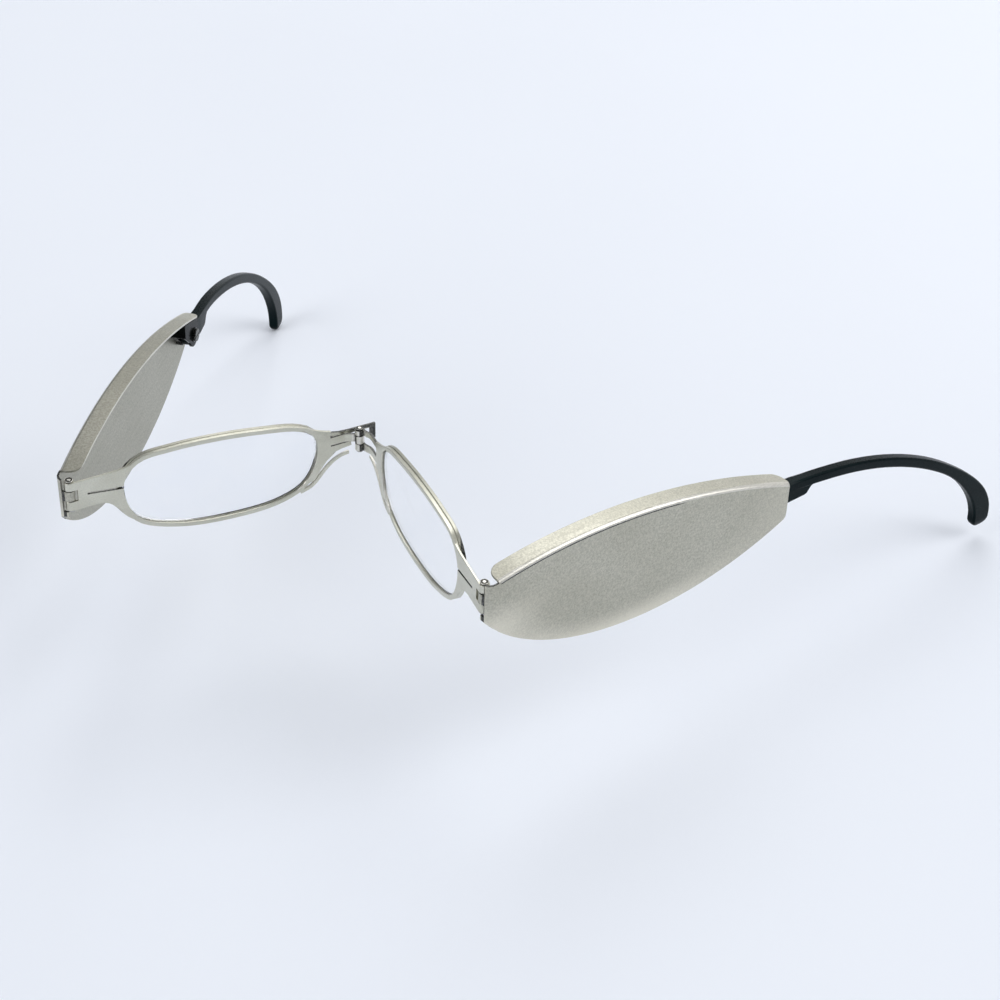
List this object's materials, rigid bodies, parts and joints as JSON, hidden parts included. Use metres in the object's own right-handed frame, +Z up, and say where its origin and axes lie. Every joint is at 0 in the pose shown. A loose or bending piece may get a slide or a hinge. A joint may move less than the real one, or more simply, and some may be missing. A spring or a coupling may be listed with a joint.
{
  "type": "folding reading glasses",
  "caption": "Folding reading glasses: two hinged half fronts, pressed sheet-metal half-case temples and black plastic ear hooks that fold away along their lower edges.",
  "frame": {"origin": "centre of the bounding box in plan, at the level of the lowest point (the left ear hook's tip), in the half-open pose", "axes": "+X to the wearer's left-to-right as seen from the front, along the spread of the glasses; +Y from the fronts back to the ear hooks; +Z up"},
  "size_m": [0.195, 0.1482, 0.0574],
  "materials": {
    "sheet_steel": "fine bead-blasted satin",
    "pins": "turned, bright",
    "screws": "polished",
    "brass": "turned",
    "black_plastic": "satin moulded",
    "lens": "clear polished"
  },
  "bodies": {
    "left_front": {"left_front_frame": "sheet_steel", "left_lens": "lens", "left_temple_hinge_pin": "pins", "bridge_hinge_pin": "pins"},
    "right_front": {"right_front_frame": "sheet_steel", "right_lens": "lens", "right_temple_hinge_pin": "pins"},
    "left_temple": {"left_temple_shell": "sheet_steel", "left_hook_bracket": "black_plastic", "left_hook_pivot_screw": "screws", "left_hook_threaded_insert": "brass", "left_hook_friction_washer": "screws"},
    "right_temple": {"right_temple_shell": "sheet_steel", "right_hook_bracket": "black_plastic", "right_hook_pivot_screw": "screws", "right_hook_threaded_insert": "brass", "right_hook_friction_washer": "screws"},
    "left_hook": {"left_ear_hook": "black_plastic"},
    "right_hook": {"right_ear_hook": "black_plastic"}
  },
  "joints": [
    {"name": "bridge_fold", "type": "hinge", "parent": "left_front", "child": "right_front", "pos_m": [-0.03081, -0.0272, 0.05165], "axis": [0, 0, -1], "range_deg": [-96, 84]},
    {"name": "left_temple_fold", "type": "hinge", "parent": "left_front", "child": "left_temple", "pos_m": [-0.0751, -0.0725, 0.05165], "axis": [0, 0, -1], "range_deg": [-45, 50]},
    {"name": "right_temple_fold", "type": "hinge", "parent": "right_front", "child": "right_temple", "pos_m": [0.01348, -0.0725, 0.05165], "axis": [0, 0, 1], "range_deg": [-19.5, 75.5]},
    {"name": "left_hook_fold", "type": "hinge", "parent": "left_temple", "child": "left_hook", "pos_m": [-0.08553, 0.00177, 0.04235], "axis": [-0.9903, -0.1392, 0], "range_deg": [-2.6, 148.4]},
    {"name": "right_hook_fold", "type": "hinge", "parent": "right_temple", "child": "right_hook", "pos_m": [0.05488, -0.00996, 0.04235], "axis": [-0.8339, 0.5519, 0], "range_deg": [0, 151]}
  ]
}
